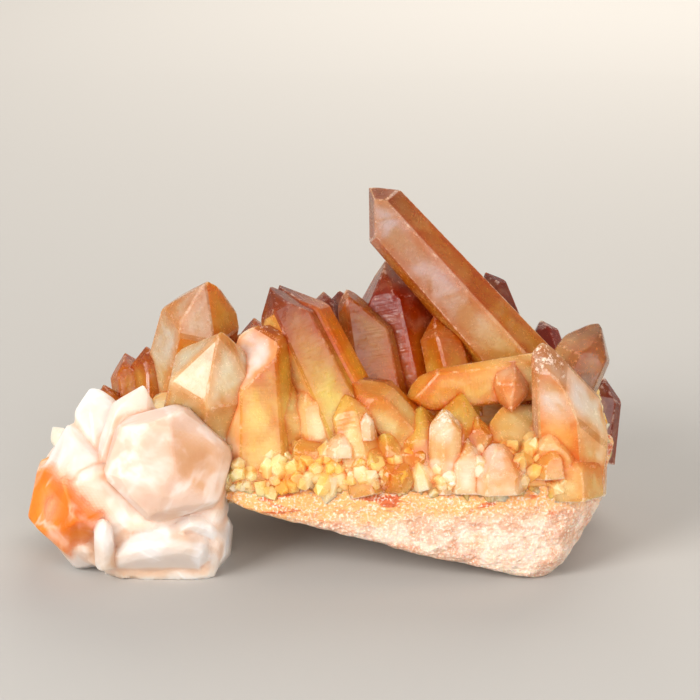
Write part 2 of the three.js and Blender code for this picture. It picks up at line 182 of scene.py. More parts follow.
def makeQuartz(name, facts):
    # Quartz as it grew: satin faces, clouds and healed cracks inside that scatter the light, iron oxide in
    # the creases, and tips bruised to a white frost.
    # The edges get a painted orange glow and a broken pale line, partly bruising and partly painted
    # highlight.
    material, add = newMaterial(name)
    coords = add("TexCoord").outputs["Object"]
    place = add("Mapping", inputs={"Vector": coords, "Scale": inMillimetres})
    tint, look, growth = (add("Attribute", {"attribute_name": key}) for key in ("tint", "look", "growth"))
    clear, edge, crease = add("SeparateColor", inputs={"Color": look}).outputs
    along, frosty, onSide = add("SeparateColor", inputs={"Color": growth}).outputs

    clouds = add("TexNoise", inputs={
        "Vector": place, "Scale": 1 / facts["cloud"], "Detail": 3, "Roughness": 0.45, "Distortion": 0.8})
    cloudy = add("MapRange", softly, {"Value": clouds, "From Min": 0.35, "From Max": 0.65})
    shade = add("Mix", coloured, {"Factor": cloudy, "A": facts["dark"], "B": facts["light"]})
    colour = add("Mix", tinted, {"Factor": 1.0, "A": tint, "B": shade})

    # painted glow: the colour deepens to orange near each edge, standing in for light that passes through the
    # thin edges
    rim = add("MapRange", softly, {
        "Value": edge, "From Min": 0.02, "From Max": 0.7, "To Min": facts["rim"], "To Max": 0.0})
    colour = add("Mix", tinted, {"Factor": rim, "A": colour, "B": facts["paintedEdgeGlowColour"]})

    # healed cracks: thin pale sheets that wander through the clouds
    cracks = add("TexNoise", inputs={
        "Vector": place, "Scale": 1 / facts["crack"], "Detail": 3, "Distortion": 1.2})
    off = add("Math", {"operation": "ABSOLUTE"}, {0: add("Math", minus, {0: cracks, 1: 0.5})})
    sheet = add("MapRange", softly, {"Value": off, "From Max": 0.09, "To Min": facts["veil"], "To Max": 0.0})
    veil = add("Math", times, {0: sheet, 1: cloudy})
    colour = add("Mix", coloured, {"Factor": veil, "A": colour, "B": facts["veilColour"]})

    # iron oxide where one crystal meets the next
    away = add("Math", timesPlus, {0: clouds, 1: 0.5, 2: crease})
    rust = add("MapRange", softly, {
        "Value": away, "From Min": 0.22, "From Max": 0.48, "To Min": facts["rust"], "To Max": 0.0})
    colour = add("Mix", tinted, {"Factor": rust, "A": colour, "B": facts["rustColour"]})

    # frost: flaky patches at the tip, and a broken pale line along the edges that is partly bruising and
    # partly a painted highlight where the edges catch the light
    flakes = add("TexNoise", inputs={
        "Vector": place, "Scale": 1 / facts["flake"], "Detail": 8, "Roughness": 0.75})
    whiter = add("Math", timesPlus, {0: frosty, 1: 0.4, 2: flakes})
    patches = add("MapRange", softly, {"Value": whiter, "From Min": 0.8, "From Max": 0.86})
    thin = add("Math", timesPlus, {0: flakes, 1: -0.5, 2: edge})
    frostAndHighlightLine = add("MapRange", softly, {
        "Value": thin, "From Min": -0.27, "From Max": -0.19, "To Min": facts["edgeFrostAndHighlight"], "To Max": 0.0})
    frost = add("Math", {"operation": "MAXIMUM"}, {0: patches, 1: frostAndHighlightLine})
    whitened = add("Math", times, {0: frost, 1: 0.75})
    colour = add("Mix", coloured, {"Factor": whitened, "A": colour, "B": facts["frostAndHighlightColour"]})

    # frost is opaque and dull; the rest lets light through, as far as its look says
    unfrosted = add("Math", minus, {0: 1.0, 1: frost})
    through = add("Math", times, {0: clear, 1: facts["clearness"]})
    through = add("Math", times, {0: through, 1: unfrosted})
    satin = add("MapRange", softly, {
        "Value": flakes, "From Min": 0.3, "From Max": 0.7,
        "To Min": facts["gloss"], "To Max": facts["gloss"] + 0.15})
    rough = add("Math", timesPlus, {0: frost, 1: 0.35, 2: satin})

    # growth lines across the sides, a faint swell over each face, and the raised crust of frost
    steps = add("TexNoise", {"noise_dimensions": "1D"}, {
        "W": along, "Scale": 1 / facts["stria"], "Detail": 3})
    striae = add("Math", times, {0: steps, 1: onSide})
    bump = add("Bump", inputs={"Strength": 0.5, "Distance": facts["striaHigh"] * mm, "Height": striae})
    swell = add("TexNoise", inputs={"Vector": place, "Scale": 1 / facts["swell"], "Detail": 3})
    bump = add("Bump", inputs={
        "Strength": 0.6, "Distance": facts["swellHigh"] * mm, "Height": swell, "Normal": bump})
    crust = add("Math", times, {0: frost, 1: flakes})
    bump = add("Bump", inputs={
        "Strength": 0.7, "Distance": facts["crustHigh"] * mm, "Height": crust, "Normal": bump})
    surface = add("BsdfPrincipled", inputs={
        "Base Color": colour, "Roughness": rough, "IOR": quartzIor, "Specular IOR Level": 0.3,
        "Subsurface Weight": 1.0, "Subsurface Radius": facts["depth"],
        "Subsurface Scale": facts["scatter"] * mm, "Transmission Weight": through, "Normal": bump})
    inside = add("VolumeAbsorption", inputs={"Color": facts["inside"], "Density": facts["density"]})
    add("OutputMaterial", inputs={"Surface": surface, "Volume": inside})
    return material


tangerineQuartz = {
    "cloud": 8.0, "crack": 14.0, "flake": 1.1, "swell": 3.5,  # sizes of the patterns, in millimetres
    "stria": 0.5,  # growth lines, drawn coarser than the real ones so that they show
    "striaHigh": 0.06, "swellHigh": 0.35, "crustHigh": 0.2,
    "dark": "#f0cf9c", "light": "#ffffff", "clearness": 0.85,
    # rim: a painted orange glow along the edges
    "rim": 0.55, "paintedEdgeGlowColour": "#f4a84c",
    "veil": 0.08, "veilColour": "#fcdcac",
    "rust": 0.55, "rustColour": "#ffc070",
    # the pale edge line is partly bruised frost and partly a painted highlight
    "edgeFrostAndHighlight": 0.55, "frostAndHighlightColour": "#f6e6da",
    "gloss": 0.16, "scatter": 5.0, "depth": (1.0, 0.9, 0.7),
    "inside": "#ffe2b0", "density": 10.0,
}

milkyQuartz = {
    "cloud": 9.0, "crack": 14.0, "flake": 2.0, "swell": 3.5,
    "stria": 0.8, "striaHigh": 0.06, "swellHigh": 0.35, "crustHigh": 0.2,
    "dark": "#f4ece4", "light": "#ffffff", "clearness": 0.6,
    # rim: a painted glow along the edges
    "rim": 0.2, "paintedEdgeGlowColour": "#fce4c8",
    "veil": 0.35, "veilColour": "#ffffff",
    "rust": 0.5, "rustColour": "#fcd0a4",
    # the pale edge line is partly bruised frost and partly a painted highlight
    "edgeFrostAndHighlight": 0.12, "frostAndHighlightColour": "#fff6f0",
    "gloss": 0.32, "scatter": 3.5, "depth": (1.0, 0.88, 0.75),
    "inside": "#fff4e6", "density": 8.0,
}


sugaryQuartz = {
    "streak": 2.2, "patch": 7, "sugar": 0.5, "grain": 0.9,  # sizes of the patterns, in millimetres
    "streakHigh": 1.4, "sugarHigh": 0.4, "grainHigh": 0.4,
    "pink": "#deae90", "pale": "#f0d6c2", "streaks": "#d9997a",
    "seep": "#f2b066", "spots": "#cc5a24", "sparkle": "#f8ead8",
    "scatter": 0.8, "depth": (1.0, 0.6, 0.4),
}


def makeRock(facts):
    # Massive quartz, broken across: interlocking sugary grains, iron stain in streaks along the bedding.
    material, add = newMaterial("massive quartz, broken face")
    coords = add("TexCoord").outputs["Object"]
    place = add("Mapping", inputs={"Vector": coords, "Scale": inMillimetres})
    bedding = add("Mapping", inputs={"Vector": place, "Rotation": (0.0, 0.12, 0.0), "Scale": (0.3, 0.4, 1.0)})
    streaks = add("TexNoise", inputs={"Vector": bedding, "Scale": 1 / facts["streak"], "Detail": 6})
    patches = add("TexNoise", inputs={
        "Vector": place, "Scale": 1 / facts["patch"], "Detail": 4, "Distortion": 0.6})
    fine = add("TexNoise", inputs={
        "Vector": place, "Scale": 1 / facts["sugar"], "Detail": 4, "Roughness": 0.65})
    grains = add("TexVoronoi", inputs={"Vector": place, "Scale": 1 / facts["grain"]})
    stain = add("Attribute", {"attribute_name": "stain"}).outputs["Fac"]

    cream = add("MapRange", softly, {"Value": patches, "From Min": 0.42, "From Max": 0.58})
    colour = add("Mix", coloured, {"Factor": cream, "A": facts["pink"], "B": facts["pale"]})
    pinker = add("MapRange", softly, {"Value": streaks, "From Min": 0.5, "From Max": 0.6, "To Max": 0.5})
    colour = add("Mix", coloured, {"Factor": pinker, "A": colour, "B": facts["streaks"]})

    # iron that seeped down from the crystals: a wide golden band, and darker spots in it
    wide = add("Math", timesPlus, {0: patches, 1: 1.4, 2: stain})
    rusty = add("MapRange", softly, {"Value": wide, "From Min": 0.75, "From Max": 1.4, "To Max": 0.9})
    colour = add("Mix", coloured, {"Factor": rusty, "A": colour, "B": facts["seep"]})
    seep = add("Math", timesPlus, {0: stain, 1: 0.16, 2: streaks})
    spots = add("MapRange", softly, {"Value": seep, "From Min": 0.66, "From Max": 0.76, "To Max": 0.9})
    colour = add("Mix", coloured, {"Factor": spots, "A": colour, "B": facts["spots"]})
    sugar = add("MapRange", softly, {"Value": fine, "From Min": 0.52, "From Max": 0.6, "To Max": 0.75})
    colour = add("Mix", coloured, {"Factor": sugar, "A": colour, "B": facts["sparkle"]})

    bump = add("Bump", inputs={"Distance": facts["streakHigh"] * mm, "Height": streaks})
    bump = add("Bump", inputs={"Distance": facts["grainHigh"] * mm, "Height": grains, "Normal": bump})
    bump = add("Bump", inputs={"Distance": facts["sugarHigh"] * mm, "Height": fine, "Normal": bump})
    satin = add("MapRange", softly, {
        "Value": fine, "From Min": 0.35, "From Max": 0.65, "To Min": 0.75, "To Max": 0.4})
    surface = add("BsdfPrincipled", inputs={
        "Base Color": colour, "Roughness": satin, "IOR": quartzIor, "Subsurface Weight": 0.7,
        "Subsurface Radius": facts["depth"], "Subsurface Scale": facts["scatter"] * mm, "Normal": bump})
    add("OutputMaterial", inputs={"Surface": surface})
    return material


quartz = makeQuartz("tangerine quartz, natural faces", tangerineQuartz)
milky = makeQuartz("milky quartz, natural faces", milkyQuartz)
rockFace = makeRock(sugaryQuartz)
print("materials are made")


# what all the points share, where their own rows say nothing else
habit = {
    "termination": 51.8,  # degrees from a point's faces to the prism's end
    "sides": 6,
    "sink": 8,  # how far a root goes on into what carries it
    "taper": 2,  # degrees that a side may lean inwards
    "edge": 0.16,  # depth of the worn chamfer along each edge
    "edgeWide": 5,  # a point narrower than this has a shallower one
    "flat": 0.97,  # faces that meet at a smaller angle than this cosine says have none
    "chips": 3,  # chipped corners on each point
    "frost": 0.05,  # how white and bruised a tip is, up to 1
}


def pointPlanes(spec, seed):
    # rows are a normal and how far along it the face lies; kinds says what each face is
    root, tip = np.array(spec["root"], float), np.array(spec["tip"], float)
    axis = unit(tip - root)
    foot = root - axis * spec.get("sink", habit["sink"])
    wide = spec["wide"]
    deep = spec.get("deep", wide)
    nearer = np.array((0.0, -1.0, 0.0)) if abs(axis[1]) < 0.8 else np.array((0.0, 0.0, 1.0))
    toFront = unit(nearer - axis * nearer.dot(axis))
    toRight = -np.cross(toFront, axis)
    rows, kinds = [(*-axis, -axis.dot(foot))], ["foot"]
    for k in range(habit["sides"]):
        angle = math.radians(spec.get("turn", 0) + 60 * k)
        out = toFront * math.cos(angle) + toRight * math.sin(angle)
        even = math.hypot(wide * math.sin(angle), deep * math.cos(angle))
        reach = spec["reach"][k] if "reach" in spec else even * (0.93 + 0.14 * chance(seed, k))
        offX, offY = spec.get("off", (0, 0))
        shift = offX * math.sin(angle) + offY * math.cos(angle)
        lean = math.radians(spec.get("taper", habit["taper"]) * (0.5 + chance(seed, k + 10)))
        side = out * math.cos(lean) + axis * math.sin(lean)
        rows.append((*side, side.dot(foot + out * (reach + shift))))
        kinds.append(f"side{k}")
        steep = math.radians(habit["termination"])
        end = axis * math.cos(steep) + out * math.sin(steep)
        natural = (0.5 if k % 2 else 0.12) * wide * chance(seed, k + 30)  # every second face is lower
        drop = spec["drop"][k] if "drop" in spec else natural
        rows.append((*end, end.dot(tip - axis * drop)))
        kinds.append(f"end{k}")
    for i, (x, y, z, short) in enumerate(spec.get("cuts", [])):
        n = unit((x, y, z))
        rows.append((*n, n.dot(tip) - short))
        kinds.append(f"cut{i}")
    return np.array(rows), kinds


def cornersOf(rows):
    # corners of the solid that the planes shut in, and which planes meet at each
    triples = np.array(list(itertools.combinations(range(len(rows)), 3)))
    sets = rows[triples][:, :, :3]
    size = np.linalg.det(sets)
    keep = np.abs(size) > 1e-5
    hits = np.linalg.solve(sets[keep], rows[triples[keep]][:, :, 3][..., None])[..., 0]
    inside = (hits @ rows[:, :3].T <= rows[:, 3] + 1e-4).all(axis=1)
    corners = hits[inside]
    _, first = np.unique(np.round(corners, 3), axis=0, return_index=True)
    corners = corners[first]
    touching = np.abs(corners @ rows[:, :3].T - rows[:, 3]) < 2e-3
    return corners, touching


def wornPlanes(rows, kinds, seed, edge, chips):
    # chips off some corners near the tip, then a narrow chamfer along every edge
    corners, touching = cornersOf(rows)
    heights = corners @ -rows[0, :3]
    high = np.flatnonzero(heights > np.percentile(heights, 45))
    chipped = []
    for i in range(chips):
        k = high[int(chance(seed, 60 + i) * len(high)) % len(high)]
        meeting = rows[touching[k], :3]
        n = unit(sum((0.4 + chance(seed + j, 70 + i)) * face for j, face in enumerate(meeting)))
        chipped.append((*n, n.dot(corners[k]) - edge * (1 + 2 * chance(seed, 90 + i))))
    rows = np.vstack([rows, *chipped])
    kinds = kinds + ["chip"] * chips
    corners, touching = cornersOf(rows)
    for a, b in itertools.combinations(range(len(rows)), 2):
        shared = corners[touching[:, a] & touching[:, b]]
        bend = rows[a, :3].dot(rows[b, :3])
        if len(shared) < 2 or bend > habit["flat"] or 0 in (a, b):
            continue
        n = unit(rows[a, :3] + rows[b, :3])
        depth = edge * (0.6 + 0.8 * chance(seed + a, 120 + b))
        rows = np.vstack([rows, (*n, n.dot(shared[0]) - depth)])
        kinds = kinds + ["rim"]
    return rows, kinds


def solidFrom(rows, owner):
    corners, _ = cornersOf(rows)
    bm = bmesh.new()
    for corner in corners:
        bm.verts.new(corner)
    bmesh.ops.convex_hull(bm, input=bm.verts)
    bmesh.ops.delete(bm, geom=[v for v in bm.verts if not v.link_faces], context="VERTS")
    bmesh.ops.recalc_face_normals(bm, faces=bm.faces)
    ownerLayer = bm.faces.layers.int.new("owner")
    planeLayer = bm.faces.layers.int.new("plane")
    for face in bm.faces:
        fit = np.abs(rows[:, :3] @ np.array(face.calc_center_median()) - rows[:, 3])
        fit += 2 * (1 - rows[:, :3] @ np.array(face.normal))
        face[ownerLayer] = owner
        face[planeLayer] = int(fit.argmin())
    return bm


def wave(p, seed):  # smooth noise from -1 to 1, made of a few crossed waves
    total = 0
    for i in range(5):
        a = 6.283 * chance(seed, i)
        b = 3.142 * chance(seed, i + 20)
        along = p[:, 0] * math.sin(b) * math.cos(a)
        along = along + p[:, 1] * math.sin(b) * math.sin(a)
        along = along + p[:, 2] * math.cos(b)
        total = total + np.sin(along * (0.7 + 0.35 * i) + 6.283 * chance(seed, i + 40)) / (1 + 0.35 * i)
    return total / 2.6


def lumpReach(spec, directions):
    # how far the lump's surface is from its centre: broken faces with rounded edges and a rough skin
    faces = np.array(spec["faces"], float)
    normals = faces[:, :3] / np.linalg.norm(faces[:, :3], axis=1)[:, None]
    press = (np.clip(directions @ normals.T / faces[:, 3], 0, None) ** 12).sum(axis=1)
    reach = press ** (-1 / 12)
    places = directions * reach[:, None]
    return reach + spec["rough"] * (wave(places * 0.35, spec["seed"]) + wave(places, spec["seed"] + 1) / 2)


def reliefAt(p, waves):  # waves are the height of each noise and how many there are to a millimetre
    return sum(high * noise.noise(p * often) for high, often in waves)


def lumpMesh(spec):
    bm = bmesh.new()
    bmesh.ops.create_icosphere(bm, subdivisions=spec["detail"], radius=1)
    bm.verts.ensure_lookup_table()
    directions = np.array([v.co for v in bm.verts]) * spec["stretch"]
    directions /= np.linalg.norm(directions, axis=1)[:, None]
    reach = lumpReach(spec, directions)
    points = directions * reach[:, None] + spec["centre"]
    lift = np.array([reliefAt(Vector(p), spec["relief"]) for p in points])
    points = directions * (reach + lift)[:, None] + spec["centre"]
    for v, p in zip(bm.verts, points):
        v.co = p
    return bm


# a lump's faces are directions, each with how far from the centre it lies; relief is its waves
lumps = {
    "rock": {
        "centre": (20, -2, 12), "stretch": (2.2, 1.6, 1), "detail": 7, "rough": 0.5, "seed": 3,
        "relief": [(0.8, 0.12), (0.4, 0.4), (0.2, 1.1)],
        "faces": [
            (0, -1, 0.1, 30), (0, 1, 0.15, 28), (-1, 0, 0, 42), (1, -0.1, -0.12, 38),
            (0.78, -0.2, -0.6, 32.5),
            (0.7, 0.7, 0, 39), (0.8, -0.6, 0.1, 43), (-0.7, 0.7, 0, 37), (0, -0.2, 0.98, 12.4),
            (0, 0.2, 0.98, 9), (-0.25, -0.1, -0.96, 10), (0, 0, -1, 22),
        ],
    },
    "bed": {
        "centre": (10, -2, 20), "stretch": (2.4, 1.6, 1), "detail": 6, "rough": 0.8, "seed": 5,
        "relief": [(0.5, 0.45), (0.25, 1.1)],
        "faces": [
            (0, -0.75, 0.66, 22.4), (0, -1, 0, 30.2), (0, -0.55, -0.84, 17), (0, 1, 0.35, 29),
            (-1, 0, 0.2, 48), (1, 0, 0.2, 45),
            (0.7, -0.7, 0.2, 47), (0.7, 0.7, 0.2, 42), (-0.7, 0.7, 0.2, 42), (-0.7, -0.7, 0, 42),
            (0, -0.2, 1, 9.5), (0, 0.35, 0.93, 10), (0, 0, -1, 9),
        ],
    },
    "lobe": {
        "centre": (-38, -17, 15), "stretch": (1, 1, 0.9), "detail": 6, "rough": 0.8, "seed": 8,
        "relief": [(0.5, 0.45), (0.25, 1.1)],
        "faces": [
            (-1, -0.1, 0.1, 19), (-0.5, 0, -0.87, 15), (0, -1, 0, 15), (1, 0, -0.1, 18), (0, 1, 0, 22),
            (0, 0, 1, 9), (0, 0, -1, 16), (-0.6, 0, 0.8, 13),
        ],
    },
}


def point(root, tip, **more):  # one row of the tables
    return dict(root=root, tip=tip, **more)


# Each point runs from its root to its tip. reach is how far each side lies from the axis, drop how far
# below the tip each end face starts, cuts are more faces, and melt the heights over which its colour
# turns to its root's.
points = {
    # the tall middle and what stands beside it
    "tallBlade": point((40.5, -4, 34.6), (4.2, 7.5, 73), wide=6.4, turn=-3,
        reach=(6.4, 6.8, 6.7, 6.4, 6.4, 6.4), taper=1.6, drop=(0, 2, 2.6, 1, 6.4, 6.4), look="blush",
        faces={"side1": "amber", "side5": "amberDeep", "end1": "amber", "end5": "amber", "end0": "amber"},
        frost=0.1),
    "smoky": point((9.8, -7, 30), (5.5, 3, 53.8), wide=5.9, turn=9,
        reach=(4.5, 6.4, 6.2, 5, 5.2, 5.6), drop=(-1, 5.4, 3, 0, 1, 0.6), look="smoky",
        faces={"side5": "rustOrange", "end5": "blush"}, frost=0.1, melt=(33, 45)),
    "rustBroad": point((16.7, 2, 29.7), (10.9, 10, 56.5), wide=8.4, turn=-15, look="rust", melt=(33, 45)),
    "amberNotch": point((25.5, -6, 32.4), (21.9, 1, 45.9), wide=4.8, turn=24, look="amberDeep",
        melt=(34, 42)),
    "leaning": point((8.7, -22, 20.3), (-10.8, -8, 57.3), wide=7.6, turn=14,
        reach=(6, 6, 6, 6, 7.6, 7.6), drop=(1.5, 5, 3, 1, 0, 0.5), look="ember", faces={"side5": "honey"},
        frost=0.5, melt=(34, 49)),
    "leaningRim": point((10.5, -20, 20.4), (-9.3, -5, 56), wide=7.6, turn=14,
        reach=(6, 6, 6, 6, 7.6, 7.6), drop=(1.5, 3.6, 3, 1, 0, 0.5), look="rimOrange", frost=0.1,
        melt=(34, 46)),
    # the left shoulder
    "leftBack": point((-30.2, 9, 25.1), (-23.7, 0, 53.9), wide=8.6, turn=2,
        reach=(8, 8, 8, 8, 8.6, 8.2), drop=(1.5, 2.5, 0, 1, 1, 0.5), look="blushCream",
        faces={"side0": "tangerine", "side1": "amber", "end1": "tangerine"}, frost=0.1, melt=(30, 40)),
    "redCap": point((-12.7, -24, 17.2), (-13.6, -16, 53.7), sink=0, wide=7.2, turn=6,
        reach=(5.8, 6.4, 6, 6, 6.6, 7.2), cuts=[(-0.05, -0.2, 0.98, 6.36), (-0.5, -0.5, 0.7, 5.02)],
        look="amberHoney", faces={"cut0": "redSkin", "cut1": "whiteSkin", "side5": "whiteSkin"}, frost=0.6,
        melt=(33, 41)),
    "honeyBroad": point((-13.1, -18.5, 12.1), (-7.7, -14, 42.1), sink=0, wide=9.4, turn=22, look="honey"),
    "honeyFill": point((0.7, -21, 13), (-3.7, -15, 40.8), sink=0, wide=7.4, turn=12, look="paleHoney"),
    "creamBlock": point((-24.5, -14, 25.5), (-20.3, -23, 49.4), sink=2, wide=9.2, turn=28,
        reach=(9.4, 12, 9, 8, 9.4, 9.4), drop=(1, 0, 0, 0, 0, 0), look="creamTan", frost=0.1),
    "farLeft": point((-36, 2, 20), (-37.5, 10, 37), wide=4.6, turn=20, look="rustOrange"),
    "farLeftB": point((-39, 4, 19), (-42.5, 12, 35), wide=4.6, look="rustOrange"),
    "farLeftC": point((-43.5, 0, 18.5), (-47.5, 6, 29.5), wide=3.8, turn=10, look="rustOrange"),
    # the ledge and the right-hand end
    "lowSlant": point((22.8, -22, 18.1), (4.7, -18, 39.2), sink=2, wide=5.2, turn=5,
        drop=(0, 2.5, 1, 0, 0, 0.5), look="tangerine", frost=0.5, melt=(26, 42)),
    "lowSlantRim": point((24, -20, 18.7), (5.7, -15.5, 38.6), sink=2, wide=4.8, turn=5,
        drop=(0, 2.2, 1, 0, 0, 0), look="rimOrange", frost=0.1, melt=(24, 36)),
    "lowSlantB": point((7.9, -27, 19.6), (3.7, -21, 36.9), sink=3, wide=4.6, turn=-15, look="honey"),
    "ledge": point((41.5, -12, 36.4), (15.1, -17, 34.2), sink=2, wide=4.6, turn=6,
        reach=(3, 4.6, 4, 4, 4, 4.8), drop=(0, 2, 0, 0, 0, 0), look="tangerine", frost=0.1),
    "ledgeStep": point((25.8, -20, 25.5), (27.1, -17, 35.5), sink=4, wide=6.6, turn=-20, look="honeyClear"),
    "pinkWedge": point((36.8, -12, 37.2), (36.9, -20, 31), sink=0, wide=3.7, turn=12, look="pink", frost=0.3),
    "rightRidge": point((45, -21, 17), (42.5, -20, 47.5), sink=0, wide=7.6, deep=6.8, turn=-20,
        off=(4.6, 0.5), taper=3, drop=(0, 0, 0, 2, 2, 0),
        cuts=[(0.1, -0.2, 0.97, 0.8), (0.78, -0.45, 0.45, -2.4), (1, -0.1, -0.1, -16)], look="blushCream",
        faces={"side0": "ridgeFront", "side1": "ridgeSide", "side5": "pink", "cut0": "paleSkin",
            "cut1": "ridgeSide"}, frost=0.7, melt=(29, 37)),
    "rightClear": point((45.9, -12, 28), (55.8, -6, 47.2), wide=6.4, turn=10, look="clear", frost=0.1),
    "rightDark": point((56.2, 6, 15.5), (58.2, 11, 29), sink=4, wide=4, look="plum"),
    "honeyUnder": point((19.5, -23, 16.8), (19.3, -19, 34.9), sink=0, wide=6.2, turn=12, look="honeyClear"),
    "paleFill": point((33.4, -19, 14.9), (32.6, -11, 37.7), sink=0, wide=9, turn=14,
        cuts=[(-0.25, -0.72, 0.65, 7.5)], look="paleHoney"),
    "paleA": point((38.7, -24, 18), (39.3, -15, 36.5), sink=0, wide=7, turn=24,
        cuts=[(0.3, -0.6, 0.75, 3)], look="paleHoney"),
    "paleB": point((46.7, -24, 19.5), (45.6, -23, 33.4), sink=0, wide=5.5, turn=-15, look="paleHoney"),
    "creamStud": point((24, -27, 17.5), (23.7, -25, 35.3), sink=0, wide=3.8, turn=20,
        cuts=[(0, -0.3, 0.95, 1.4)], look="cream", frost=0.8),
    "creamStudB": point((27.8, -28, 17.8), (27.9, -26.5, 29.1), sink=0, wide=3.8, look="cream", frost=0.7),
    "pinkStud": point((34.1, -28, 17.8), (33.8, -26, 29.4), sink=0, wide=5.8, turn=5,
        cuts=[(0.1, -0.15, 1, 2)], look="pinkPale", frost=0.7),
    "amberBead": point((30.2, -24, 23.8), (30.2, -21.5, 32.4), sink=0, wide=3.1,
        cuts=[(0, -0.2, 0.97, 0.8)], look="tangerine"),
    "amberChip": point((44.6, -28, 20.4), (44.1, -26, 28.5), sink=0, wide=3.3, turn=15, look="tangerine"),
    "paleFront": point((49.4, -25.5, 15.6), (48.5, -23.5, 28.9), sink=0, wide=5.4, turn=-12,
        look="paleHoney"),
    "paleFrontB": point((52.1, -22, 14.7), (52.7, -19.5, 25.3), sink=0, wide=3.8, turn=18, look="ridgeSide"),
    "honeyStep": point((13.1, -21, 17.3), (11.4, -27, 30.6), sink=2, wide=5, turn=15, look="honey"),
    "whiteChip": point((2.7, -28, 25), (2.9, -27, 31), sink=0, wide=2.6, turn=10,
        cuts=[(0.3, -0.5, 0.9, 1.2)], look="cream"),
    "whiteChipB": point((7.9, -27, 28), (7.9, -25.5, 33.6), sink=0, wide=1.6, look="cream"),
    # the back
    "backDark": point((40.5, 12, 32), (33.5, 24, 48.5), sink=16, wide=3.6, look="plum"),
    "backSmall": point((48.5, 8, 29), (45, 18, 39.5), sink=12, wide=3.4, look="rust"),
    "backPlum": point((0.5, 12, 29.5), (-1.5, 24, 44.5), wide=4.5, turn=10, look="plum"),
    "backPlumB": point((3.5, 16, 25.5), (2.5, 28, 43), wide=4.8, turn=10, look="plum"),
    "backPlumC": point((-13.5, 2, 31), (-15.5, 10, 43), wide=4.4, turn=10, look="rustOrange"),
    "midLeft": point((-19, 2, 24), (-19, 6, 41), wide=5, turn=25, look="rustOrange"),
    "midRight": point((32, 5, 24), (34, 10, 38), wide=4.6, look="amber"),
    "midRightB": point((42, 2, 24), (45, 6, 36), wide=4.6, turn=15, look="amber"),
    "rearTall": point((23, 12, 24), (24, 23, 47), wide=5.5, turn=15, look="ember"),
    "rearMid": point((12, 14, 22), (13, 31, 38), wide=5.5, turn=5, look="ember"),
    "rearMidB": point((30, 14, 22), (35, 30, 35), wide=5, turn=25, look="amber"),
    "rearLow": point((3, 18, 18), (3, 34, 28), wide=5, turn=10, look="honey"),
    "rearLowB": point((22, 18, 18), (24, 35, 26), wide=4.5, look="tangerine"),
    "rearLeft": point((-18, 8, 22), (-25, 22, 38), wide=6, turn=20, look="rustOrange"),
    "rearLeftB": point((-28, 8, 18), (-37, 21, 28), wide=5, look="honey"),
    "rearLeftC": point((-14, 14, 18), (-18, 31, 27), wide=5, turn=10, look="blushCream"),
    "rearRight": point((44, 8, 20), (53, 20, 32), wide=4.8, turn=10, look="smoky"),
    "rearRightB": point((40, 14, 18), (46, 29, 26), wide=4.4, turn=25, look="tangerine"),
}

milkyPoints = {
    "whiteSpear": point((-41.1, -25, 23.9), (-36.3, -23, 39.2), sink=4, wide=4.8, deep=3.6, turn=-8,
        drop=(1, 0, 0, 0, 1, 1), look="milk"),
    "whiteStub": point((-44.7, -20, 23.4), (-47, -14, 36.2), wide=5, turn=20,
        cuts=[(0.3, -0.1, 0.9, 1.2)], look="milk"),
    "whiteShoulder": point((-49.4, -22, 20.3), (-52.2, -19, 31.5), sink=4, wide=8, turn=10,
        cuts=[(-0.5, -0.3, 0.8, 1)], worn=0.5, look="milk"),
    "peachDome": point((-31.2, -18, 19.4), (-31, -50, 31.5), sink=2, wide=11.6, turn=15,
        cuts=[(-0.2, -0.95, 0.16, 10.8), (0.5, -0.8, 0.2, 10.6)], worn=1, look="peach", chips=2,
        faces={"cut1": "peachDeep", "side4": "peachDeep"}),
    "whiteFootA": point((-34.1, -18, -1.2), (-32.1, -46, 11), sink=0, wide=11.2, deep=9, turn=12,
        cuts=[(0, -0.97, 0.2, 5.5), (-0.5, -0.8, 0.3, 6.4), (0.45, -0.85, 0.25, 6.6), (0, -0.6, 0.8, 7),
            (0, -0.8, -0.6, 6)], worn=0.8, look="milkGrey", chips=4),
    "whiteFootB": point((-27.2, -16, 2.4), (-25.8, -40, 12.4), sink=0, wide=7.6, turn=24,
        cuts=[(0.3, -0.92, 0.2, 3.6), (0, -0.8, -0.6, 3)], worn=0.8, look="milkGrey", chips=3),
    "whiteFootC": point((-43.8, -32, 3.2), (-44.1, -34.5, 15.3), sink=0, wide=2.1, turn=20,
        cuts=[(-0.4, -0.2, 0.9, 0.8)], worn=0.2, look="milkGrey"),
    "orangeFace": point((-49.8, -14, 11.5), (-49.6, -40, 17.5), sink=0, wide=9.4, turn=18,
        cuts=[(-0.3, -0.95, 0.05, 3.2)], worn=0.2, look="crust", frost=0.3),
    "lowerLeft": point((-46.5, -16, 6), (-49, -36, 8.5), sink=0, wide=7.6, turn=10,
        cuts=[(-0.3, -0.9, -0.2, 2.2)], worn=0.7, look="milkGrey"),
}
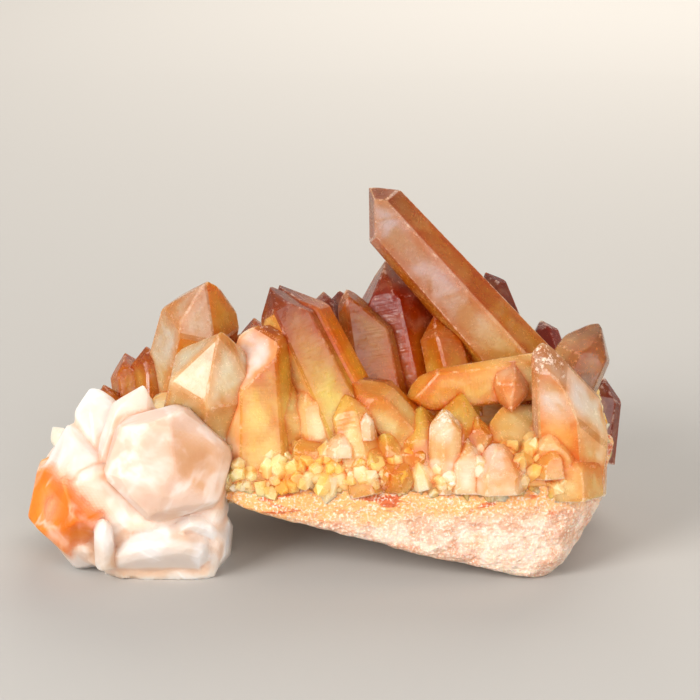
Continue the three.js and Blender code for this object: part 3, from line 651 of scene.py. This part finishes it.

# colours at the tip, in the middle and at the root, and how clear it is at the tip and at the root;
# the bright root colours are the quartz's own honey tone and a painted glow of light passing through the base
looks = {
    "blush": ("#c6c9dd", "#c4a49d", "#d3ae66", 0.4, 0.35),
    "blushCream": ("#c2ab9f", "#dac9b4", "#e3cd9f", 0.35, 0.3),
    "amber": ("#8e541a", "#c0711f", "#c47c14", 0.5, 0.4),
    "amberDeep": ("#c8701c", "#c07210", "#f2c050", 0.5, 0.4),
    "smoky": ("#af8346", "#ad6e1c", "#d68a21", 0.5, 0.4),
    "rust": ("#84501c", "#962f02", "#d4780c", 0.45, 0.4),
    "rustOrange": ("#a0550f", "#cb8a23", "#d89428", 0.45, 0.4),
    "plum": ("#6c301c", "#76361e", "#804020", 0.0, 0.0),
    "ember": ("#7c4124", "#b8681c", "#e2ca5c", 0.45, 0.4),
    "rimOrange": ("#6a2a0c", "#ec940c", "#ffbe34", 0.5, 0.4),
    "amberHoney": ("#c06c10", "#dba42c", "#ecc869", 0.4, 0.35),
    "honey": ("#f4da62", "#f7de95", "#f4dca3", 0.4, 0.35),
    "honeyClear": ("#f6d450", "#f8dc78", "#f8de94", 0.5, 0.4),
    "paleHoney": ("#f6e4b0", "#eed8a4", "#ecd094", 0.3, 0.3),
    "tangerine": ("#f2b444", "#f0bc58", "#eed69c", 0.45, 0.35),
    "cream": ("#f4ead0", "#f4f6f0", "#f6e8c8", 0.25, 0.25),
    "creamTan": ("#d1bd9d", "#dfd2b2", "#f6d083", 0.3, 0.3),
    "pinkPale": ("#f2e2dc", "#f4eeee", "#f2e4cc", 0.25, 0.25),
    "pink": ("#d8a886", "#ebc091", "#cfa38e", 0.3, 0.3),
    "clear": ("#ccb48c", "#dcba86", "#d09468", 0.95, 0.85),
    "redSkin": ("#84402e", "#98503c", "#c07c66", 0.0, 0.0),
    "whiteSkin": ("#dcc0ba", "#e4ccc4", "#f0d4b4", 0.0, 0.0),
    "paleSkin": ("#c8a0a0", "#e0bc98", "#ead1b4", 0.05, 0.05),
    "ridgeFront": ("#d09484", "#d8ccc4", "#e09c40", 0.2, 0.2),
    "ridgeSide": ("#e4d4c8", "#e4d6ca", "#e4d3b4", 0.1, 0.1),
    "milk": ("#efe5e1", "#f3eae7", "#efdcd5", 0.1, 0.1),
    "milkGrey": ("#e2d8d0", "#e2dcda", "#d4cac0", 0.2, 0.15),
    "peach": ("#ecd2be", "#e8ccbb", "#e6bf98", 0.15, 0.15),
    "peachDeep": ("#dcaa80", "#dcaa80", "#deb08a", 0.15, 0.15),
    "crust": ("#dc680c", "#e4861c", "#e8a448", 0.0, 0.0),
}

# and what is of one colour all over
plainLooks = {
    "bed": ("#f6dcae", 0.0),
    "chipPale": ("#fbe8c8", 0.2),
    "chipHoney": ("#fbe2a4", 0.2),
    "chipAmber": ("#f6bc58", 0.2),
    "lobe": ("#f0dccc", 0.15),
}


def druse(on, facts):
    # small points over a lump's skin, from one azimuth to another, at heights from low to high in degrees
    grown = {}
    spec = lumps[on]
    seed = facts["seed"]
    (left, right), (low, high) = facts["azimuths"], facts["heights"]
    for i in range(facts["count"]):
        around = (i + 0.8 * chance(seed, i)) / facts["count"]
        azimuth = math.radians(left + (right - left) * around)
        height = math.radians(low + (high - low) * chance(seed, i + 100))
        direction = np.array((
            math.cos(height) * math.cos(azimuth), math.cos(height) * math.sin(azimuth), math.sin(height)))
        wide = facts["small"] + (facts["large"] - facts["small"]) * chance(seed, i + 200)
        foot = direction * (lumpReach(spec, direction[None])[0] - wide) + spec["centre"]
        lean = unit(direction + np.array((
            0.8 * chance(seed, i + 300) - 0.4, 0.6 * chance(seed, i + 400) - 0.3, facts["rise"])))
        tip = foot + lean * wide * (facts["tall"] + chance(seed, i + 500))
        turn = 60 * chance(seed, i + 600)
        grown[f"{on}{seed}_{i}"] = point(foot, tip, sink=1, wide=wide, turn=turn, look=facts["look"],
                                         seed=seed + i)
    return grown


druses = [
    dict(count=18, azimuths=(210, 322), heights=(-6, 10), small=2, large=4.2, rise=0.5, tall=1.4, seed=11,
         look="honey"),
    dict(count=11, azimuths=(10, 170), heights=(2, 14), small=2.4, large=4, rise=0.8, tall=2.4, seed=13,
         look="tangerine"),
    dict(count=6, azimuths=(20, 160), heights=(18, 32), small=2.4, large=4, rise=0.8, tall=2.4, seed=14,
         look="amber"),
]
lobeDruse = dict(count=5, azimuths=(90, 150), heights=(0, 45), small=2, large=3.6, rise=0.8, tall=2.4,
                 seed=15, look="cream")


def unionTree():
    # all the solids, and small points scattered over a strip of surface, made one: no face is left inside
    tree = bpy.data.node_groups.new("union", "GeometryNodeTree")
    for label, kind in (("Solids", "Collection"), ("Strip", "Object"), ("Crystals", "Collection"),
                        ("Density", "Float"), ("Smallest", "Float"), ("Largest", "Float"), ("Seed", "Int")):
        tree.interface.new_socket(label, in_out="INPUT", socket_type="NodeSocket" + kind)
    tree.interface.new_socket("Geometry", in_out="OUTPUT", socket_type="NodeSocketGeometry")
    add = partial(addNode, tree)
    given = add("NodeGroupInput").outputs
    strip = add("GeometryNodeObjectInfo", inputs={"Object": given["Strip"]})
    spots = add("GeometryNodeDistributePointsOnFaces", inputs={
        "Mesh": strip.outputs["Geometry"], "Density": given["Density"], "Seed": given["Seed"]})
    lean = add("FunctionNodeRandomValue", {"data_type": "FLOAT_VECTOR"}, {
        "Min": (-0.8, -0.8, 0.0), "Max": (0.8, 0.8, 6.28), "Seed": given["Seed"]})
    turned = add("FunctionNodeRotateRotation", {"rotation_space": "LOCAL"}, {
        "Rotation": spots.outputs["Rotation"], "Rotate By": lean})
    draw = add("FunctionNodeRandomValue", inputs={"Seed": given["Seed"]})
    mostlySmall = add("Math", {"operation": "POWER"}, {0: draw, 1: 1.8})
    size = add("MapRange", inputs={
        "Value": mostlySmall, "To Min": given["Smallest"], "To Max": given["Largest"]})
    kinds = add("GeometryNodeCollectionInfo", inputs={
        "Collection": given["Crystals"], "Separate Children": True, "Reset Children": True})
    scattered = add("GeometryNodeInstanceOnPoints", inputs={
        "Points": spots.outputs["Points"], "Instance": kinds, "Pick Instance": True, "Rotation": turned,
        "Scale": size})
    every = add("GeometryNodeCollectionInfo", inputs={
        "Collection": given["Solids"], "Separate Children": True})
    union = add("GeometryNodeMeshBoolean", {"operation": "UNION", "solver": "MANIFOLD"})
    tree.links.new(every.outputs[0], union.inputs["Mesh 2"])
    tree.links.new(scattered.outputs[0], union.inputs["Mesh 2"])
    add("NodeGroupOutput", inputs={"Geometry": union.outputs[0]})
    return tree


def heldIn(name, solids):  # a collection that holds the solids as objects
    holding = bpy.data.collections.new(name)
    scene.collection.children.link(holding)
    for i, bm in enumerate(solids):
        addObject(f"{name}{i}", meshFrom(f"{name}{i}", bm), holding)
    return holding


def emptied(holding):
    for thing in list(holding.objects):
        bpy.data.objects.remove(thing)
    bpy.data.collections.remove(holding)


def joinSolids(name, solids, strip=None, facts=None):
    # one object from all the solids, with the small crystals that facts describes grown on the strip
    holding = heldIn(name + "Solids", solids)
    values = {"Solids": holding}
    if facts:
        kinds = []
        for i, owner in enumerate(facts["owners"]):
            askew = 0.3 * chance(facts["shapeSeed"] + 11, i) - 0.15
            spec = point((0, 0, -1), (askew, 0, facts["tall"]), sink=0, wide=facts["wide"])
            rows, _ = pointPlanes(spec, facts["shapeSeed"] + i)
            kinds.append(solidFrom(rows, owner))
        values.update({"Crystals": heldIn(name + "Kinds", kinds), "Strip": strip, "Density": facts["density"],
                       "Smallest": facts["smallest"], "Largest": facts["largest"], "Seed": facts["seed"]})
    host = addObject(name, bpy.data.meshes.new(name))
    tree = unionTree()
    modifier = host.modifiers.new("union", "NODES")
    modifier.node_group = tree
    for label, value in values.items():
        modifier[tree.interface.items_tree[label].identifier] = value
    joined = bpy.data.meshes.new_from_object(host.evaluated_get(bpy.context.evaluated_depsgraph_get()))
    host.modifiers.clear()
    host.data = joined
    emptied(holding)
    if facts:
        emptied(values["Crystals"])
        bpy.data.objects.remove(strip)
    return host


def cutBelow(bm, height):  # what is under the height is taken off and the cut is closed flat
    everything = bm.verts[:] + bm.edges[:] + bm.faces[:]
    bmesh.ops.bisect_plane(bm, geom=everything, plane_co=(0, 0, height), plane_no=(0, 0, -1),
                           clear_outer=True, dist=1e-5)
    bmesh.ops.holes_fill(bm, edges=[e for e in bm.edges if e.is_boundary], sides=0)


def refine(bm, longest):  # triangles with no edge longer than that, as far as a few rounds go
    for _ in range(6):
        bmesh.ops.triangulate(bm, faces=bm.faces)
        long = [e for e in bm.edges if e.calc_length() > longest]
        if not long:
            break
        bmesh.ops.subdivide_edges(bm, edges=long, cuts=1)
    bmesh.ops.triangulate(bm, faces=bm.faces)


def readRows(rows, key, width=1, kind=np.int32):  # one value or more from each row, as an array
    values = np.empty(len(rows) * width, kind)
    rows.foreach_get(key, values)
    return values


def bring(near, away):  # near keeps the least and the second least distance from what has been seen
    near[1] = np.minimum(near[1], np.maximum(near[0], away))
    near[0] = np.minimum(near[0], away)


lumpBlend = 5  # rounds in which the bed's and the small crystals' colours run together


def blended(values, corner, rounds):
    # colours averaged over each point and each triangle in turn, so they run into one another
    count = np.maximum(np.bincount(corner), 1)
    for _ in range(rounds):
        sums = np.stack([np.bincount(corner, weights=column) for column in values.T], axis=1)
        values = (sums / count[:, None])[corner]
        values = values.reshape(-1, 3, 4).mean(axis=1).repeat(3, axis=0)
    return values


reaches = {
    "edge": 3,  # how far from an edge the material can tell
    "crease": 4,  # and from a crease between two points
    "far": 50.0,
    "frost": (0.1, 0.6),  # shares of a point's length over which frost fades
    "middle": (0.0, 0.4),  # the tip's colour gives way to the middle's
    "root": (0.5, 1.0),  # and that to the root's
}


def paint(thing, bodies, lump, lumpLooks, longest, rounds=0, soften=(2, 0.5)):
    # The mesh is refined, and its shape smoothed in so many rounds. Each corner gets three colours:
    # tint is its own colour; look is how clear it is, how near an edge and how near a crease;
    # growth is its place along the point, its frost and whether it is on a side.
    # soften is in how many rounds the tints run together, and how much of that shows. lumpLooks are
    # the looks of the lump that the points grow on and of its small crystals.
    bm = bmesh.new()
    bm.from_mesh(thing.data)
    bmesh.ops.remove_doubles(bm, verts=bm.verts, dist=2e-3)
    bmesh.ops.dissolve_degenerate(bm, edges=bm.edges, dist=1e-3)
    cutBelow(bm, 0)
    refine(bm, longest)
    standing = [v for v in bm.verts if v.co.z > 0.5]  # the foot stays flat
    for _ in range(rounds):
        bmesh.ops.smooth_vert(bm, verts=standing, factor=0.5,
                              use_axis_x=True, use_axis_y=True, use_axis_z=True)
    bm.to_mesh(thing.data)
    bm.free()
    mesh = thing.data
    co = readRows(mesh.vertices, "co", 3, float).reshape(-1, 3)
    owner = readRows(mesh.attributes["owner"].data, "value")
    plane = readRows(mesh.attributes["plane"].data, "value")
    corner = readRows(mesh.loops, "vertex_index")
    faceOf = np.repeat(np.arange(len(mesh.polygons)), 3)
    at = co[corner]
    tint, look, growth = (np.tile((0.0, 0.0, 0.0, 1.0), (len(corner), 1)) for _ in range(3))
    near = np.full((2, len(co)), reaches["far"])  # distances to the two nearest bodies, for the creases
    for i, body in enumerate(bodies):
        bring(near, (co @ body["main"][:, :3].T - body["main"][:, 3]).max(axis=1))
        mine = owner[faceOf] == i
        if not mine.any():
            continue
        t = np.clip((body["tip"] - at[mine]) @ body["axis"] / body["length"], 0, 1)
        kinds = np.array(body["kinds"])[plane[faceOf[mine]]]
        apart = np.sort(np.abs(at[mine] @ body["main"][:, :3].T - body["main"][:, 3]), axis=1)[:, 1]
        look[mine, 1] = np.clip(apart / reaches["edge"], 0, 1)
        growth[mine, 0] = t * body["length"]
        growth[mine, 1] = body["frost"] * (1 - smooth(*reaches["frost"], t))
        for kind in np.unique(kinds):
            here = kinds == kind
            name = body["faces"].get(kind, body["look"])
            *colours, clearTip, clearRoot = looks[name]
            mix = np.array([toLinear(colour) for colour in colours])[:, :3]
            a = smooth(*reaches["middle"], t[here])[:, None]
            b = smooth(*reaches["root"], t[here])[:, None]
            # below the melt heights the colour turns to the root's: its own honey tone and a painted glow
            # near the base
            if body["melt"]:
                b = np.maximum(b, 1 - smooth(*body["melt"], at[mine][here][:, 2:]))
            rows = np.flatnonzero(mine)[here]
            tint[rows, :3] = (mix[0] * (1 - a) + mix[1] * a) * (1 - b) + mix[2] * b
            look[rows, 0] = clearTip + (clearRoot - clearTip) * t[here]
            growth[rows, 2] = kind.startswith("side")
    away = co - lump["centre"]
    far = np.linalg.norm(away, axis=1)
    bring(near, far - lumpReach(lump, away / far[:, None]))
    for i, name in enumerate(lumpLooks):
        mine = owner[faceOf] == -1 - i
        tint[mine, :3] = toLinear(plainLooks[name][0])[:3]
        look[mine, 0] = plainLooks[name][1]
        look[mine, 1] = 1
    look[:, 2] = np.clip(near[1][corner] / reaches["crease"], 0, 1)
    soft, share = soften
    tint = share * blended(tint, corner, soft) + (1 - share) * tint
    onLump = owner[faceOf] < 0
    tint[onLump] = blended(tint, corner, lumpBlend)[onLump]
    for name, values in (("tint", tint), ("look", look), ("growth", growth)):
        mesh.color_attributes.new(name, "FLOAT_COLOR", "CORNER").data.foreach_set("color", values.ravel())
    for name in ("owner", "plane"):
        mesh.attributes.remove(mesh.attributes[name])
    mesh.vertices.foreach_set("co", place(co).ravel())
    mesh.update()


def growPoints(specs, firstSeed):
    bodies, solids = [], []
    for i, spec in enumerate(specs.values()):
        seed = spec.get("seed", firstSeed + i)
        rows, kinds = pointPlanes(spec, seed)
        edge = spec.get("worn", habit["edge"] * min(1.0, spec["wide"] / habit["edgeWide"]))
        worn, wornKinds = wornPlanes(rows, kinds, seed, edge, spec.get("chips", habit["chips"]))
        solids.append(solidFrom(worn, i))
        tip, root = np.array(spec["tip"], float), np.array(spec["root"], float)
        bodies.append({"main": rows, "kinds": wornKinds, "tip": tip, "axis": unit(tip - root),
                       "length": np.linalg.norm(tip - root), "look": spec["look"],
                       "frost": spec.get("frost", habit["frost"]),
                       "melt": spec.get("melt"), "faces": spec.get("faces", {})})
    return bodies, solids


def withOwner(bm, owner):  # every face of the lump is marked as the owner's
    layer = bm.faces.layers.int.new("owner")
    bm.faces.layers.int.new("plane")
    for face in bm.faces:
        face[layer] = owner
    return bm


# small crystals between the large ones: owners says which look each kind has, and front, back and
# right where on the bed they grow
grains = {
    "density": 0.45, "smallest": 0.5, "largest": 1.9, "seed": 7, "owners": (-2, -3, -4),
    "tall": 2.2, "wide": 0.9, "shapeSeed": 30,
    "front": {"facing": -0.1, "end": 48, "low": 17.5, "high": 27},
    "back": {"from": 4, "low": 15},
    "right": {"from": 44, "nearest": -9, "low": 17},
}


def grainsGrowOn(face):
    at = face.calc_center_median()
    front, back, right = grains["front"], grains["back"], grains["right"]
    if face.normal.y < front["facing"] and at.x < front["end"] and front["low"] < at.z < front["high"]:
        return True
    if at.y > back["from"] and at.z > back["low"]:
        return True
    return at.y > right["nearest"] and at.x > right["from"] and at.z > right["low"]


allPoints = dict(points)
for facts in druses:
    allPoints.update(druse("bed", facts))
bodies, solids = growPoints(allPoints, 1)
strip = lumpMesh(lumps["bed"])
bmesh.ops.delete(strip, geom=[f for f in strip.faces if not grainsGrowOn(f)], context="FACES")
cluster = joinSolids("points", solids + [withOwner(lumpMesh(lumps["bed"]), -1)],
                     addObject("strip", meshFrom("strip", strip)), grains)
paint(cluster, bodies, lumps["bed"], ["bed", "chipPale", "chipHoney", "chipAmber"], longest=2.2)
cluster.data.materials.append(quartz)
print("points:", len(cluster.data.polygons), "faces")

allMilky = {**milkyPoints, **druse("lobe", lobeDruse)}
milkyBodies, milkySolids = growPoints(allMilky, 1 + len(points))
lobe = joinSolids("milkyLobe", milkySolids + [withOwner(lumpMesh(lumps["lobe"]), -1)])
paint(lobe, milkyBodies, lumps["lobe"], ["lobe"], longest=1.1, rounds=2, soften=(12, 1.0))
lobe.data.materials.append(milky)
print("lobe:", len(lobe.data.polygons), "faces")

# iron seeps down from the crystals' roots, whose seam lies at a height that rises to the right
iron = {"height": 17.5, "rise": 0.04, "seep": 7.5}
bm = lumpMesh(lumps["rock"])
cutBelow(bm, 0)
bmesh.ops.triangulate(bm, faces=bm.faces)
rock = addObject("rock", meshFrom("rock", bm))
co = readRows(rock.data.vertices, "co", 3, float).reshape(-1, 3)
seam = iron["height"] + iron["rise"] * co[:, 0]
stain = np.clip(1 - (seam - co[:, 2]) / iron["seep"], 0, 1)
rock.data.attributes.new("stain", "FLOAT", "POINT").data.foreach_set("value", stain.astype(np.float32))
rock.data.vertices.foreach_set("co", place(co).ravel())
rock.data.update()
rock.data.materials.append(rockFace)
print("rock:", len(rock.data.polygons), "faces")

bm = bmesh.new()
bmesh.ops.create_grid(bm, x_segments=1, y_segments=1, size=studio["floorHalf"])
floor = addObject("floor", meshFrom("floor", bm))
floor.data.materials.append(makeFloorMaterial())

dressed = (
    (cluster, "crystals", "tangerine_quartz"),
    (lobe, "crystals", "tangerine_quartz"),
    (rock, "matrix", "massive_quartz"),
)
for piece, node, slotName in dressed:
    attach(piece, "root")
    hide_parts(node)
